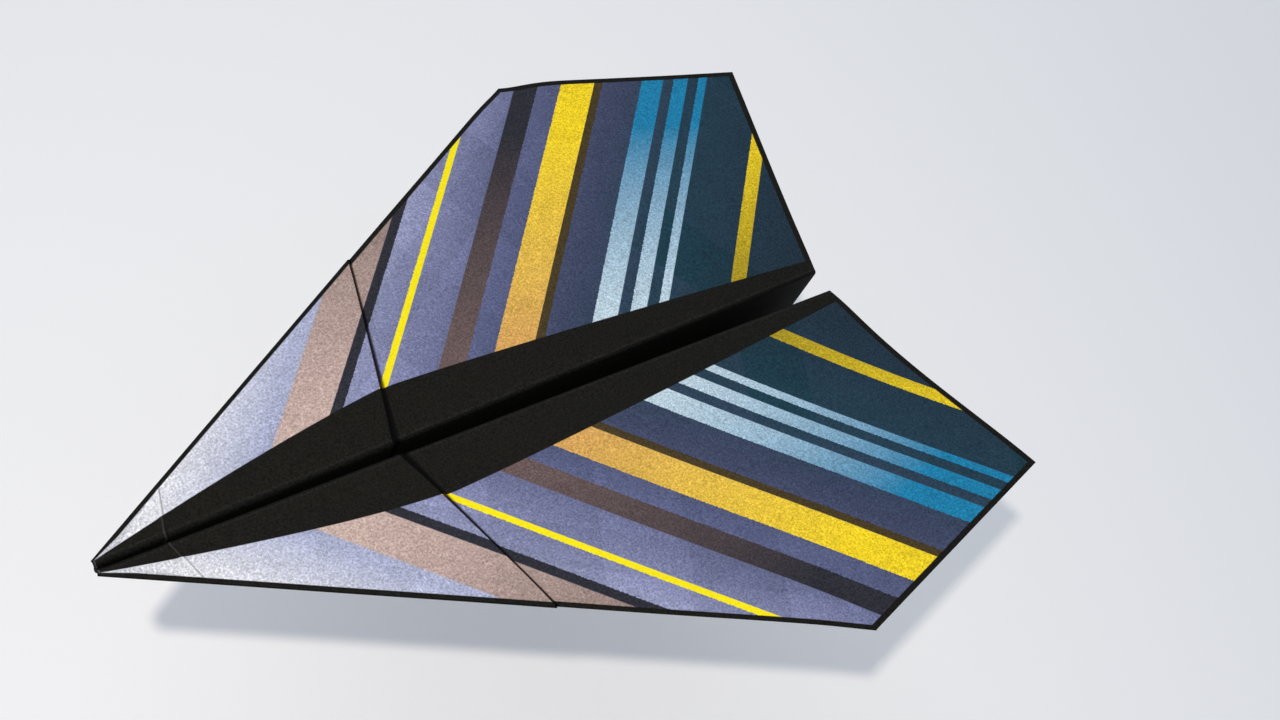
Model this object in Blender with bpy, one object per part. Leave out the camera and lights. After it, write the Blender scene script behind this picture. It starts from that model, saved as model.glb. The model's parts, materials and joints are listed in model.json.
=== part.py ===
"""A folded paper hand glider: one letter sheet creased into a wide dart.

The sheet is built as its flat panels and the bends that join them, so the plies lie on each other as they do
in the folded sheet, and each crease that moves is a hinge line with an empty on it.
Sheet coordinates: x runs aft from the nose along the centre line, y out from the centre line.
Crease coordinates, on a wing: s runs aft along the wing crease, w out from it.
World: +X forward, +Y to port, +Z up, origin between the fingers that hold the keel.
"""

import math

import bmesh
import bpy
from mathutils import Vector

# Driving dimensions, in metres
SHEET_WIDTH = 0.2159
SHEET_LENGTH = 0.2794
PAPER = 0.0001
PLY_GAP = 0.0001
CREASE_GAP = 0.0003
INNER_SETBACK = 0.0132
KEEL_DEPTH = 0.0457
GRIP_BACK = 0.0890
GRIP_DROP = 0.0120

# Rest angles, in degrees
KEEL_SPREAD = 2.8
DIHEDRAL = 3.2
KEEL_BEND = 75.0

# Sizes that follow from the folding
HALF_WIDTH = SHEET_WIDTH / 2
NOSE_FOLD = HALF_WIDTH
FOLDED_LENGTH = SHEET_LENGTH - NOSE_FOLD
NOSE_FLAP = (NOSE_FOLD + INNER_SETBACK) / 2
CLEARANCE = CREASE_GAP / 2
PITCH = PAPER + PLY_GAP
WING_CREASE = math.atan2(KEEL_DEPTH, FOLDED_LENGTH)
LEADING_EDGE = math.pi / 4
SPREAD = math.radians(KEEL_SPREAD)

# Plies from the groove side and wing top to the outside of the keel and the wing underside
TOP, INNER, BASE, FLAP, FLAP_INNER, FLAP_OUTER = range(6)
PLY_NAMES = ("nose_top_ply", "nose_inner_ply", "panel", "flap_panel", "flap_inner_ply", "flap_outer_ply")
HINGE_OFFSET = 2 * CLEARANCE + FLAP_OUTER * PITCH + PAPER

# Finish of each kind of paper surface: colour and roughness
INK_NOSE = ((0.42, 0.43, 0.55), 0.62)
INK_WING = ((0.06, 0.15, 0.21), 0.60)
INK_GROOVE = ((0.016, 0.015, 0.015), 0.58)
INK_FLAP = ((0.52, 0.52, 0.58), 0.66)
WING_INKS = (INK_NOSE, INK_NOSE, INK_WING, INK_FLAP, INK_FLAP, INK_FLAP)
KEEL_INKS = (INK_GROOVE, INK_GROOVE, INK_GROOVE, INK_FLAP, INK_FLAP, INK_FLAP)

SIDES = {"left": -1, "right": 1}
BEND_STEPS = 10


def clear_scene():
    for thing in list(bpy.data.objects):
        bpy.data.objects.remove(thing, do_unlink=True)


def paper_material(name, ink):
    """Matt printed paper of one plain colour."""
    colour, roughness = ink
    material = bpy.data.materials.new(name)
    material.use_nodes = True
    shader = material.node_tree.nodes["Principled BSDF"]
    shader.inputs["Base Color"].default_value = (*colour, 1.0)
    shader.inputs["Roughness"].default_value = roughness
    shader.inputs["Metallic"].default_value = 0.0
    return material


def clip(outline, normal, distance=0.0):
    """The part of a convex outline past a line: normal . point > distance."""
    length = math.hypot(*normal)
    depth = [(x * normal[0] + y * normal[1]) / length - distance for x, y in outline]
    kept = []
    for i, (x, y) in enumerate(outline):
        before = i - 1
        if (depth[i] > 0) != (depth[before] > 0):
            share = depth[i] / (depth[i] - depth[before])
            kept.append((x + share * (outline[before][0] - x), y + share * (outline[before][1] - y)))
        if depth[i] > 0:
            kept.append((x, y))
    return kept


def half_strip(front, back):
    """Half of the sheet, centre line to side edge, between two distances aft of the nose."""
    return [(front, 0.0), (back, 0.0), (back, HALF_WIDTH), (front, HALF_WIDTH)]


def ply_outlines():
    """The six plies of one half: the sheet inside the leading edge, then what is turned under it."""
    seam = NOSE_FLAP - CLEARANCE
    strips = [half_strip(0.0, seam), half_strip(INNER_SETBACK, seam), half_strip(0.0, FOLDED_LENGTH)]
    inside = [clip(strip, (1, -1), CLEARANCE) for strip in strips]
    turned = [[(y, x) for x, y in clip(strip, (-1, 1), CLEARANCE)] for strip in reversed(strips)]
    return inside + turned


def to_crease(x, y):
    """A sheet point in crease coordinates."""
    c, s = math.cos(WING_CREASE), math.sin(WING_CREASE)
    return x * c + y * s, y * c - x * s


def wing_outline(outline):
    """The wing's share of a ply, in crease coordinates."""
    return clip([to_crease(x, y) for x, y in outline], (0, 1), CLEARANCE)


def keel_outline(outline):
    """The keel's share of a ply, below the wing crease and above the bottom crease."""
    below = clip(outline, (math.sin(WING_CREASE), -math.cos(WING_CREASE)), CLEARANCE)
    return clip(below, (0, 1), CLEARANCE)


def ply_depth(ply):
    """Distance of a ply's inner face from the middle plane, with the keel closed."""
    return CLEARANCE + ply * PITCH


def ply_height(ply):
    """Height of a ply's top face over the wing crease's hinge line."""
    return HINGE_OFFSET - ply_depth(ply)


def keel_pitch():
    """Angle of the bottom crease below level, which keeps both wing creases level."""
    return math.atan(math.tan(WING_CREASE) * math.cos(SPREAD))


def wing_turn():
    """How far a wing is folded out from the plane of its keel half, to rise by the dihedral."""
    pitch = keel_pitch()
    upright = math.sin(WING_CREASE) * math.sin(pitch)
    upright += math.cos(WING_CREASE) * math.cos(SPREAD) * math.cos(pitch)
    lean = math.acos(min(1.0, upright))
    return math.pi / 2 - lean - math.radians(DIHEDRAL)


def hinge_empty(name, parent=None, location=(0, 0, 0), rotation=(0, 0, 0)):
    empty = bpy.data.objects.new(name, None)
    empty.empty_display_size = KEEL_DEPTH / 2
    empty.parent = parent
    empty.location = location
    empty.rotation_euler = rotation
    bpy.context.collection.objects.link(empty)
    return empty


def add_node(name, shape, ink, parent):
    """Turns a finished bmesh into a named object with its own paper material."""
    bmesh.ops.recalc_face_normals(shape, faces=shape.faces)
    mesh = bpy.data.meshes.new(name)
    shape.to_mesh(mesh)
    shape.free()
    mesh.shade_smooth()
    mesh.set_sharp_from_angle(angle=math.radians(30))
    mesh.materials.append(paper_material(name, ink))
    node = bpy.data.objects.new(name, mesh)
    node.parent = parent
    bpy.context.collection.objects.link(node)


def add_sides(shape, rings):
    """Joins two matching rings of vertices with a band of faces."""
    for i in range(len(rings[0])):
        shape.faces.new((rings[0][i - 1], rings[0][i], rings[1][i], rings[1][i - 1]))


def panel(name, outline, low, high, ink, parent):
    """A flat stretch of paper between two heights over its outline."""
    shape = bmesh.new()
    rings = [[shape.verts.new((x, y, z)) for x, y in outline] for z in (low, high)]
    for ring in rings:
        shape.faces.new(ring)
    add_sides(shape, rings)
    add_node(name, shape, ink, parent)


def bend(name, ends, across, inner, sweep, ink, parent):
    """A bent stretch of paper: an arc about the line between two ends.

    The arc turns from the first direction in across to the second, between the two angles in sweep.
    """
    shape = bmesh.new()
    first, second = (Vector(direction) for direction in across)
    angles = [sweep[0] + (sweep[1] - sweep[0]) * i / BEND_STEPS for i in range(BEND_STEPS + 1)]
    arc = [inner * (first * math.cos(a) + second * math.sin(a)) for a in angles]
    outer = inner + PAPER
    arc += [outer * (first * math.cos(a) + second * math.sin(a)) for a in reversed(angles)]
    rings = [[shape.verts.new(Vector(end) + point) for point in arc] for end in ends]
    add_sides(shape, rings)
    for ring in rings:
        for i in range(BEND_STEPS):
            shape.faces.new((ring[i], ring[i + 1], ring[-i - 2], ring[-i - 1]))
    add_node(name, shape, ink, parent)


def fold_over(name, ends, out, plies, side, ink, parent):
    """A sharp fold that turns one ply of a wing under to a lower one, along an edge of the wing."""
    top, bottom = ply_height(plies[0]), ply_height(plies[1]) - PAPER
    middle = (top + bottom) / 2
    inner = (top - bottom) / 2 - PAPER
    raised = [(s, w, side * middle) for s, w in ends]
    bend(name, raised, ((0, 0, side), (*out, 0)), inner, (0, math.pi), ink, parent)


def edge_run(outline):
    """Where a wing ply's crease edge starts and ends along the crease."""
    along = [s for s, w in outline if w < 2 * CLEARANCE]
    return min(along), max(along)


def build_keel_half(side_name, keel_line):
    side = SIDES[side_name]
    frame = hinge_empty(f"{side_name}_keel_axis", keel_line, rotation=(math.pi / 2 - side * SPREAD, 0, 0))
    for ply, outline in enumerate(ply_outlines()):
        depth = -side * ply_depth(ply)
        name = f"{side_name}_keel_{PLY_NAMES[ply]}"
        panel(name, keel_outline(outline), depth, depth - side * PAPER, KEEL_INKS[ply], frame)
    lower = [x for x, y in keel_outline(ply_outlines()[FLAP]) if y < 2 * CLEARANCE]
    inner_face, outer_face = ply_depth(FLAP), ply_depth(FLAP_OUTER) + PAPER
    middle = -side * (inner_face + outer_face) / 2
    ends = [(x, 0, middle) for x in (min(lower), max(lower))]
    inner = (outer_face - inner_face) / 2 - PAPER
    name = f"{side_name}_keel_edge_fold"
    bend(name, ends, ((0, 0, side), (0, -1, 0)), inner, (0, math.pi), INK_FLAP, frame)
    return frame


def build_wing_creases(side_name, crease_line):
    """The bends that carry the base sheet and the top ply from the keel half out to the wing."""
    side = SIDES[side_name]
    outlines = ply_outlines()
    for name, ply in (("wing_crease", BASE), ("wing_crease_nose", TOP)):
        ends = [(s, 0, 0) for s in edge_run(wing_outline(outlines[ply]))]
        inner = ply_height(ply) - PAPER
        across = ((0, 0, side), (0, 1, 0))
        bend(f"{side_name}_{name}", ends, across, inner, (0, wing_turn()), INK_GROOVE, crease_line)


def build_wing_folds(side_name, frame):
    """The turned edges of a wing: its leading edge, the seam on top and the flap's seam below."""
    side = SIDES[side_name]
    angle = LEADING_EDGE - WING_CREASE
    ahead = (-math.sin(angle), math.cos(angle))
    aft, outboard = to_crease(1, 0), to_crease(0, 1)
    nose = 2 * CLEARANCE / math.sin(angle)
    tip, seam = HALF_WIDTH / math.cos(LEADING_EDGE), NOSE_FLAP / math.cos(LEADING_EDGE)

    def on_edge(distance):
        return distance * math.cos(angle), distance * math.sin(angle)

    inset = NOSE_FLAP - CREASE_GAP
    root = NOSE_FLAP * math.tan(WING_CREASE) + CREASE_GAP
    tail = HALF_WIDTH - CREASE_GAP
    folds = (
        ("leading_fold", (on_edge(nose), on_edge(tip)), ahead, (BASE, FLAP), INK_WING),
        ("leading_fold_nose", (on_edge(nose), on_edge(seam)), ahead, (TOP, FLAP_OUTER), INK_NOSE),
        ("seam_fold", (to_crease(NOSE_FLAP, root), to_crease(NOSE_FLAP, inset)), aft, (TOP, INNER), INK_NOSE),
        (
            "flap_seam_fold",
            (to_crease(NOSE_FLAP + CREASE_GAP, NOSE_FLAP), to_crease(tail, NOSE_FLAP)),
            outboard,
            (FLAP_INNER, FLAP_OUTER),
            INK_FLAP,
        ),
    )
    for name, ends, out, plies, ink in folds:
        fold_over(f"{side_name}_{name}", ends, out, plies, side, ink, frame)


def build_wing(side_name, keel_frame):
    side = SIDES[side_name]
    offset = (0, 0, -side * HINGE_OFFSET)
    crease_line = hinge_empty(f"{side_name}_wing_crease_line", keel_frame, offset, (0, 0, WING_CREASE))
    build_wing_creases(side_name, crease_line)
    frame = hinge_empty(f"{side_name}_wing_axis", crease_line, rotation=(-side * wing_turn(), 0, 0))
    for ply, outline in enumerate(ply_outlines()):
        height = side * ply_height(ply)
        name = f"{side_name}_wing_{PLY_NAMES[ply]}"
        panel(name, wing_outline(outline), height, height - side * PAPER, WING_INKS[ply], frame)
    build_wing_folds(side_name, frame)


def build_keel_fold(keel_line):
    """The sheet's bend along the bottom crease, from nose to tail."""
    lower = [x for x, y in keel_outline(ply_outlines()[BASE]) if y < 2 * CLEARANCE]
    ends = [(x, 0, 0) for x in (min(lower), max(lower))]
    half_bend = math.radians(KEEL_BEND)
    across = ((0, 0, -1), (0, 1, 0))
    bend("keel_fold", ends, across, ply_depth(BASE), (-half_bend, half_bend), INK_GROOVE, keel_line)


def main():
    clear_scene()
    nose = hinge_empty("nose", location=(GRIP_BACK, 0, GRIP_DROP), rotation=(0, 0, math.pi))
    keel_line = hinge_empty("keel_line", nose, rotation=(0, keel_pitch(), 0))
    build_keel_fold(keel_line)
    for side_name in SIDES:
        build_wing(side_name, build_keel_half(side_name, keel_line))


main()
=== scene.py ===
# %% [markdown]
# # A printed paper glider
#
# The glider is one letter sheet, printed, folded into a wide dart and thrown by hand. Paper bends but
# never stretches, so each panel is flat or gently curled and each fold is a small round bend. The packed
# model gives the panels' places and the hinge lines. This script gives the paper itself: its thickness,
# its bends and curl, its ink and its worn folds.

# %% Load the frame
import json

import bpy
import numpy as np
from mathutils import Matrix, Vector


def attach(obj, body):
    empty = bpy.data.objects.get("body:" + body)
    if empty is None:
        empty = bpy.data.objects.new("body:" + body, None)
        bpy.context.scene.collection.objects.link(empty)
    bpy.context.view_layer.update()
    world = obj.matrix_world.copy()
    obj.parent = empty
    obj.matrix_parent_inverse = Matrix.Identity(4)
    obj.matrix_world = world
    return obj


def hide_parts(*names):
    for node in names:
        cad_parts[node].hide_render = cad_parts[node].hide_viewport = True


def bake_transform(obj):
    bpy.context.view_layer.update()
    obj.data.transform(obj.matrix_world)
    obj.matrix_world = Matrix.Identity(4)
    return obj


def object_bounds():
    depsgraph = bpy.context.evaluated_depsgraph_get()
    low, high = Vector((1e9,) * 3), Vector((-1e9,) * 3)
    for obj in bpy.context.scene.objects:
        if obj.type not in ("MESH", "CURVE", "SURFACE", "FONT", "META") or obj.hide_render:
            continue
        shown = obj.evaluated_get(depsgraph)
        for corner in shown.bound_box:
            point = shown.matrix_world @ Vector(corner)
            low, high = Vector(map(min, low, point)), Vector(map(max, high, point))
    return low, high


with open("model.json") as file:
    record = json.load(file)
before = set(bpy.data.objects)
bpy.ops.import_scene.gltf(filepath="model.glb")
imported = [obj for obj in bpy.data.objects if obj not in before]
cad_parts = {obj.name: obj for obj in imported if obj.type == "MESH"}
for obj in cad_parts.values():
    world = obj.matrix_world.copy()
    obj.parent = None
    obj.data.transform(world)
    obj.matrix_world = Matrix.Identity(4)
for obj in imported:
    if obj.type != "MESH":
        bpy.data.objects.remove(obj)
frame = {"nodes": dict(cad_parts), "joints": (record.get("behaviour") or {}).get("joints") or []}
cad_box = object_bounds()
MM = 0.001


def in_mm(box):
    """A box's corners in millimetres, for printing."""
    return [[round(value / MM, 1) for value in corner] for corner in box]


print("CAD box in mm:", in_mm(cad_box))

# %% [markdown]
# ## Camera
#
# A camera is a place, a direction and a focal length. They were worked out from the glider's corners: a
# letter sheet folded this way has known proportions, so the corners in a picture fix where the lens stood.
# It stands ahead of the nose on the left, 53 degrees up, and leans to its side, so the up direction is
# given too.

# %% Camera
IMAGE_WIDTH = 1280
FOCAL_PIXELS = 1496
CAMERA_PLACE = (0.1272, 0.1229, 0.2796)
CAMERA_LOOK = (-0.47998, -0.36293, -0.79869)
CAMERA_UP = (-0.32434, -0.77249, 0.54595)
NEAREST_SEEN = 10 * MM


def add_object(name, data):
    """A new object in the scene, at the origin."""
    thing = bpy.data.objects.new(name, data)
    bpy.context.scene.collection.objects.link(thing)
    return thing


def aim_camera():
    """Builds the camera's matrix from three unit directions: right, up and back."""
    data = bpy.data.cameras.new("photo_camera")
    data.lens = FOCAL_PIXELS / IMAGE_WIDTH * data.sensor_width
    data.clip_start = NEAREST_SEEN
    camera = add_object("photo_camera", data)
    look = Vector(CAMERA_LOOK).normalized()
    right = look.cross(Vector(CAMERA_UP)).normalized()
    axes = Matrix((right, right.cross(look), -look)).transposed()
    camera.matrix_world = Matrix.Translation(CAMERA_PLACE) @ axes.to_4x4()
    bpy.context.scene.camera = camera
    return camera


print("camera lens in mm:", round(aim_camera().data.lens, 2))

# %% [markdown]
# ## Small helpers for nodes
#
# A material is a tree of nodes, and wiring each by hand takes many lines. A few helpers make a node, feed
# its sockets with numbers or with other nodes' outputs, and return what it puts out, so that a tree reads
# like a formula.

# %% Small helpers for nodes


def feed(tree, socket, value):
    """Links a socket to an output, or sets its plain value."""
    if isinstance(value, bpy.types.NodeSocket):
        tree.links.new(value, socket)
    else:
        socket.default_value = value


def sums(tree, operation, *values):
    """A Math node on numbers or outputs."""
    node = tree.nodes.new("ShaderNodeMath")
    node.operation = operation
    for socket, value in zip(node.inputs, values):
        feed(tree, socket, value)
    return node.outputs[0]


def product(tree, first, *others):
    """Numbers or outputs multiplied together."""
    for value in others:
        first = sums(tree, "MULTIPLY", first, value)
    return first


def new_material(name):
    """A material with nodes: itself, its tree and its shader."""
    material = bpy.data.materials.new(name)
    material.use_nodes = True
    tree = material.node_tree
    return material, tree, tree.nodes["Principled BSDF"]


print("node helpers: feed, sums, product, new_material")

# %% [markdown]
# ## Floor
#
# The glider hovers over a plain pale floor, as in flight, so that its shadow lies clear of it and a wing
# that folds down has room. Under plain light a floor looks dull. More light would bleach the print, so the
# floor glows a little instead, but only for rays from the camera, and for reflections. It is a warm white
# and its glow is blue, so together they look neutral where the lamps reach and bluish in the shadow.

# %% Floor
FLOOR_GAP = 38 * MM
FLOOR_HEIGHT = cad_box[0].z - FLOOR_GAP
FLOOR_SIZE = 6.0
FLOOR_TINT = (0.97, 0.92, 0.86)
FLOOR_ROUGHNESS = 0.9
GLOW_TINT, GLOW_STRENGTH = (0.44, 0.68, 1.0), 0.125


def seen_rays(tree):
    """1 for the rays that show the surroundings: from the camera, by reflection or through glass."""
    ray = tree.nodes.new("ShaderNodeLightPath").outputs
    seen = sums(tree, "ADD", ray["Is Camera Ray"], ray["Is Glossy Ray"])
    return sums(tree, "ADD", seen, ray["Is Transmission Ray"])


def lay_floor():
    """One wide square under the glider, with a glow for the rays that see it."""
    half = FLOOR_SIZE / 2
    corners = [(-half, -half), (half, -half), (half, half), (-half, half)]
    mesh = bpy.data.meshes.new("floor")
    mesh.from_pydata([(x, y, FLOOR_HEIGHT) for x, y in corners], [], [(0, 1, 2, 3)])
    material, tree, shader = new_material("pale_floor")
    shader.inputs["Base Color"].default_value = (*FLOOR_TINT, 1)
    shader.inputs["Roughness"].default_value = FLOOR_ROUGHNESS
    shader.inputs["Emission Color"].default_value = (*GLOW_TINT, 1)
    feed(tree, shader.inputs["Emission Strength"], product(tree, seen_rays(tree), GLOW_STRENGTH))
    mesh.materials.append(material)
    add_object("floor", mesh)


lay_floor()
print("floor at", round(FLOOR_HEIGHT / MM, 1), "mm")

# %% [markdown]
# ## Light
#
# One small lamp, quite near, throws a shadow with a readable edge. A pale, slightly blue world and a broad
# second lamp fill the rest, so that together they light a level sheet at about the strength at which its
# colours look as they are written. The world glows a little too, for the same rays as the floor does, so
# that the floor's far edge is nearly lost against it in low views.

# %% Light
KEY_WAY, KEY_DISTANCE, KEY_SIZE, KEY_POWER = (0.38, 0.202, 0.903), 0.5, 0.018, 1.22
FILL_WAY, FILL_DISTANCE, FILL_SIZE, FILL_POWER = (-0.35, -0.65, 0.68), 0.9, 0.8, 1.7
LAMP_TINT = (1.0, 0.96, 0.90)
WORLD_TINT, WORLD_STRENGTH, WORLD_GLOW = (0.76, 0.84, 0.98), 0.48, 0.09


def hang_lamp(name, way, distance, size, power):
    """A square lamp that hangs in the given direction and faces the glider."""
    data = bpy.data.lights.new(name, "AREA")
    data.size = size
    data.energy = power
    data.color = LAMP_TINT
    lamp = add_object(name, data)
    way = Vector(way).normalized()
    lamp.location = way * distance
    lamp.rotation_euler = way.to_track_quat("Z", "Y").to_euler()


def light_world():
    """An even pale light from all round, a little brighter where it is looked at."""
    world = bpy.data.worlds.new("pale_world")
    world.use_nodes = True
    tree = world.node_tree
    background = tree.nodes["Background"]
    background.inputs["Color"].default_value = (*WORLD_TINT, 1)
    strength = sums(tree, "MULTIPLY_ADD", seen_rays(tree), WORLD_GLOW, WORLD_STRENGTH)
    feed(tree, background.inputs["Strength"], strength)
    bpy.context.scene.world = world


hang_lamp("key_lamp", KEY_WAY, KEY_DISTANCE, KEY_SIZE, KEY_POWER)
hang_lamp("fill_lamp", FILL_WAY, FILL_DISTANCE, FILL_SIZE, FILL_POWER)
light_world()
bpy.context.scene.view_settings.view_transform = "Standard"
print("key lamp", round(KEY_DISTANCE / MM), "mm and fill lamp", round(FILL_DISTANCE / MM), "mm away")

# %% [markdown]
# ## Reading the creases
#
# The sheet moves at its creases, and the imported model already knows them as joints. Each wing's joint
# gives a point on its crease and the crease's direction. The flat panels beside it give the rest: a
# plate's corners spread least across it, so the last direction of a singular value decomposition is its
# normal. With the crease, the wing's normal and the keel's normal, a whole half of the sheet can be placed
# by one formula.

# %% Reading the creases
SIDES = {"left": 1.0, "right": -1.0}


def joint_line(name):
    """A joint's point and its axis, turned to run aft."""
    joint = next(j for j in frame["joints"] if j["name"] == name)
    axis = np.array(joint["axis"]) / np.linalg.norm(joint["axis"])
    return np.array(joint["pos_m"]), -np.sign(axis[0]) * axis


def plate(node):
    """A flat node's corners, and the unit direction across the plate."""
    corners = np.array([vertex.co for vertex in frame["nodes"][node].data.vertices])
    return corners, np.linalg.svd(corners - corners.mean(axis=0))[2][2]


def read_crease(side):
    """Where one wing crease lies, its directions aft, outboard and up, and the angle from wing to keel."""
    point, aft = joint_line(f"{side}_wing_fold")
    corners, up = plate(f"{side}_wing_panel")
    up = up * np.sign(up[2])
    inward = plate(f"{side}_keel_panel")[1]
    inward = inward * -SIDES[side] * np.sign(inward[1])
    heights = (corners - point) @ up
    return {
        "point": point,
        "aft": aft,
        "out": SIDES[side] * np.cross(aft, up),
        "up": up,
        "turn": np.arccos(up @ inward),
        "panel_height": (heights.min() + heights.max()) / 2,
    }


CREASES = {side: read_crease(side) for side in SIDES}
KEEL_POINT, KEEL_AFT = joint_line("left_keel_spread")
CREASE_ANGLE = np.arccos(KEEL_AFT @ CREASES["left"]["aft"])
SLOPE = np.tan(CREASE_ANGLE)
for side, crease in CREASES.items():
    print(side, "wing crease turns", round(np.degrees(crease["turn"]), 2), "degrees")

# %% [markdown]
# ## The sheet and its levels
#
# Folding decides nearly every size. The nose fold lies half a sheet width from the front edge, the front
# is folded back on itself at the seam, and the leading edges turn under at 45 degrees. So a place on the
# folded sheet needs three numbers: x aft of the nose, y out from the centre line, and a level that says
# which ply it is on. Levels are counted from the middle of the leading edge's bend, because there the six
# plies on top and below are a mirror image. The plies lie half a thickness apart, as a thumb presses them.

# %% The sheet and its levels
SHEET_WIDTH, SHEET_LENGTH = 215.9 * MM, 279.4 * MM
RAW_EDGE = 13.2 * MM
PAPER = 0.1 * MM
PLY_PITCH = 1.5 * PAPER
HALF_WIDTH = SHEET_WIDTH / 2
FOLDED_LENGTH = SHEET_LENGTH - HALF_WIDTH
SEAM = (HALF_WIDTH + RAW_EDGE) / 2
FLAP_ROOT = HALF_WIDTH * SLOPE
BASE_LEVEL, TUCK_LEVEL, TOP_LEVEL = (PLY_PITCH * (ply + 0.5) for ply in range(3))
for crease in CREASES.values():
    crease["middle"] = crease["panel_height"] - BASE_LEVEL
print("folded length", round(FOLDED_LENGTH / MM, 2), "mm, seam", round(SEAM / MM, 2), "mm aft of the nose")

# %% [markdown]
# ## Curl
#
# Real paper keeps a memory of the hand that folded it. A wing droops a little toward its outer edge, waves
# slightly along its length, sags along its tail edge, and its front corner curls down. Noise would do, but
# a few smooth terms are easier to steer. All plies of a wing share the one curl, so they never cut each
# other, and it starts from nothing at the crease, so the bend beside it stays true.

# %% Curl
WING_SPAN = HALF_WIDTH * (np.cos(CREASE_ANGLE) - np.sin(CREASE_ANGLE))
CORNER_ALONG = HALF_WIDTH * (np.cos(CREASE_ANGLE) + np.sin(CREASE_ANGLE))
DROOP = {"left": 0.5 * MM, "right": 0.9 * MM}
WAVE, WAVE_LENGTH, WAVE_SLANT = 0.22 * MM, 74 * MM, 0.6
CORNER_CURL = {"left": 0.5 * MM, "right": 2.0 * MM}
CORNER_REACH = 8 * MM
TAIL_SAG = {"left": 1.9 * MM, "right": 0.6 * MM}
SAG_POWER, SAG_START, SAG_SCALE = 3, 8 * MM, 27 / 4
TAIL_SPAN = HALF_WIDTH * np.cos(CREASE_ANGLE) - FOLDED_LENGTH * np.sin(CREASE_ANGLE)
TAIL_ALONG = HALF_WIDTH * np.sin(CREASE_ANGLE) + FOLDED_LENGTH * np.cos(CREASE_ANGLE)


def held(distance, reach):
    """0 at a fold that holds the paper down, nearing 1 away from it: d squared over d squared plus reach
    squared."""
    inside = np.clip(distance, 0, None)
    return inside**2 / (inside**2 + reach**2)


def curl(side, along, across):
    """Height of the curled wing over its flat plane: a droop that grows as the square of the share of the
    span, plus a sine wave along the crease, out of step on the two wings, minus a bell of the corner's curl
    round the widest point, minus the tail's sag. Across the tail edge that is t times the square of 1 - t,
    scaled to reach 1 at a third of the way, and it fades forward as a power."""
    share = np.clip(across / WING_SPAN, 0, None)
    wave = np.sin(2 * np.pi * (along + WAVE_SLANT * across) / WAVE_LENGTH + SIDES[side])
    distance = np.hypot(along - CORNER_ALONG, across - WING_SPAN)
    corner = CORNER_CURL[side] * np.exp(-((distance / CORNER_REACH) ** 2))
    t = np.clip(across / TAIL_SPAN, 0, 1)
    sag = TAIL_SAG[side] * SAG_SCALE * t * (1 - t) ** 2 * np.clip(along / TAIL_ALONG, 0, 1) ** SAG_POWER
    return share**2 * (WAVE * wave - DROOP[side]) - share * corner - sag * held(across, SAG_START)


print("corner dips in mm:", {side: round(-curl(side, CORNER_ALONG, WING_SPAN) / MM, 2) for side in SIDES})

# %% [markdown]
# ## One formula for the folded sheet
#
# A fold can be modelled by cutting the sheet and turning each piece, but then the pieces have to be
# stitched. Here every point carries its two turns with it instead. The first takes it round the leading
# edge, from the top of the wing to its underside. The second takes it down the wing crease, from the wing
# to the keel. On a flat panel each turn is 0 or 1, and inside a bend it runs between them, so panels and
# bends meet point for point.

# %% One formula for the folded sheet


def folded(side, x, y, level, lead, bend):
    """Where a point of the folded sheet is. Round the leading edge it goes along a half circle whose
    radius is its level: out by radius times the sine, up by radius times the cosine of the turn. Then its
    distances along the crease and out from it are laid off in directions turned by bend, from the wing
    toward the keel."""
    crease = CREASES[side]
    reach = level * np.sin(np.pi * lead) / np.sqrt(2)
    x, y = x - reach, y + reach
    along = x * np.cos(CREASE_ANGLE) + y * np.sin(CREASE_ANGLE)
    across = y * np.cos(CREASE_ANGLE) - x * np.sin(CREASE_ANGLE)
    height = crease["middle"] + level * np.cos(np.pi * lead) + (1 - bend) * curl(side, along, across)
    cosine, sine = np.cos(bend * crease["turn"]), np.sin(bend * crease["turn"])
    steps = (along, across * cosine - height * sine, across * sine + height * cosine)
    ways = (crease["aft"], crease["out"], crease["up"])
    return crease["point"] + sum(step[..., None] * way for step, way in zip(steps, ways))


def keel_side(side, x, level, bend):
    """Where a point of the bottom bend is: a circle about the keel's crease, from straight down to the
    keel wall. The radius is how far the ply's level lies from the middle plane."""
    crease = CREASES[side]
    inward = crease["up"] * np.cos(crease["turn"]) - crease["out"] * np.sin(crease["turn"])
    down = np.cross(KEEL_AFT, (0, 1, 0))
    down = down * -np.sign(down[2])
    radius = np.abs((crease["point"] - KEEL_POINT) @ inward) - crease["middle"] - level
    angle = bend * np.arccos(-inward @ down)
    side_way = np.array((0, SIDES[side], 0))
    place = np.cos(angle)[..., None] * down + np.sin(angle)[..., None] * side_way
    return KEEL_POINT + x[..., None] * KEEL_AFT + radius[..., None] * place


print("nose tip at", np.round(folded("left", *np.zeros((5, 1)))[0] / MM, 2), "mm")

# %% [markdown]
# ## Stations along the sheet
#
# Every ply is sampled at the same places along the sheet, called stations, so that plies which lie on each
# other have their points one above the other and don't cross. Even steps do for gentle curl, and round the
# raw edge, where the paper bends sharply, the steps are fine.

# %% Stations along the sheet
STATION_STEP = 2.2 * MM
FINE_STEP, FINE_REACH = 0.25 * MM, 2.5 * MM


def stations():
    """Even steps from nose to tail, finer ones round the raw edge, and every place where a fold starts."""
    even = np.arange(0, FOLDED_LENGTH, STATION_STEP)
    fine = np.arange(RAW_EDGE - FINE_REACH, RAW_EDGE + FINE_REACH, FINE_STEP)
    marks = [RAW_EDGE, FLAP_ROOT, SEAM, HALF_WIDTH, FOLDED_LENGTH]
    places = np.concatenate([even, fine])
    clear = np.abs(places[:, None] - marks).min(axis=1) > FINE_STEP / 2
    return np.unique(np.concatenate([places[clear], marks]))


STATIONS = stations()
print(STATIONS.size, "stations from nose to tail")

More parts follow.
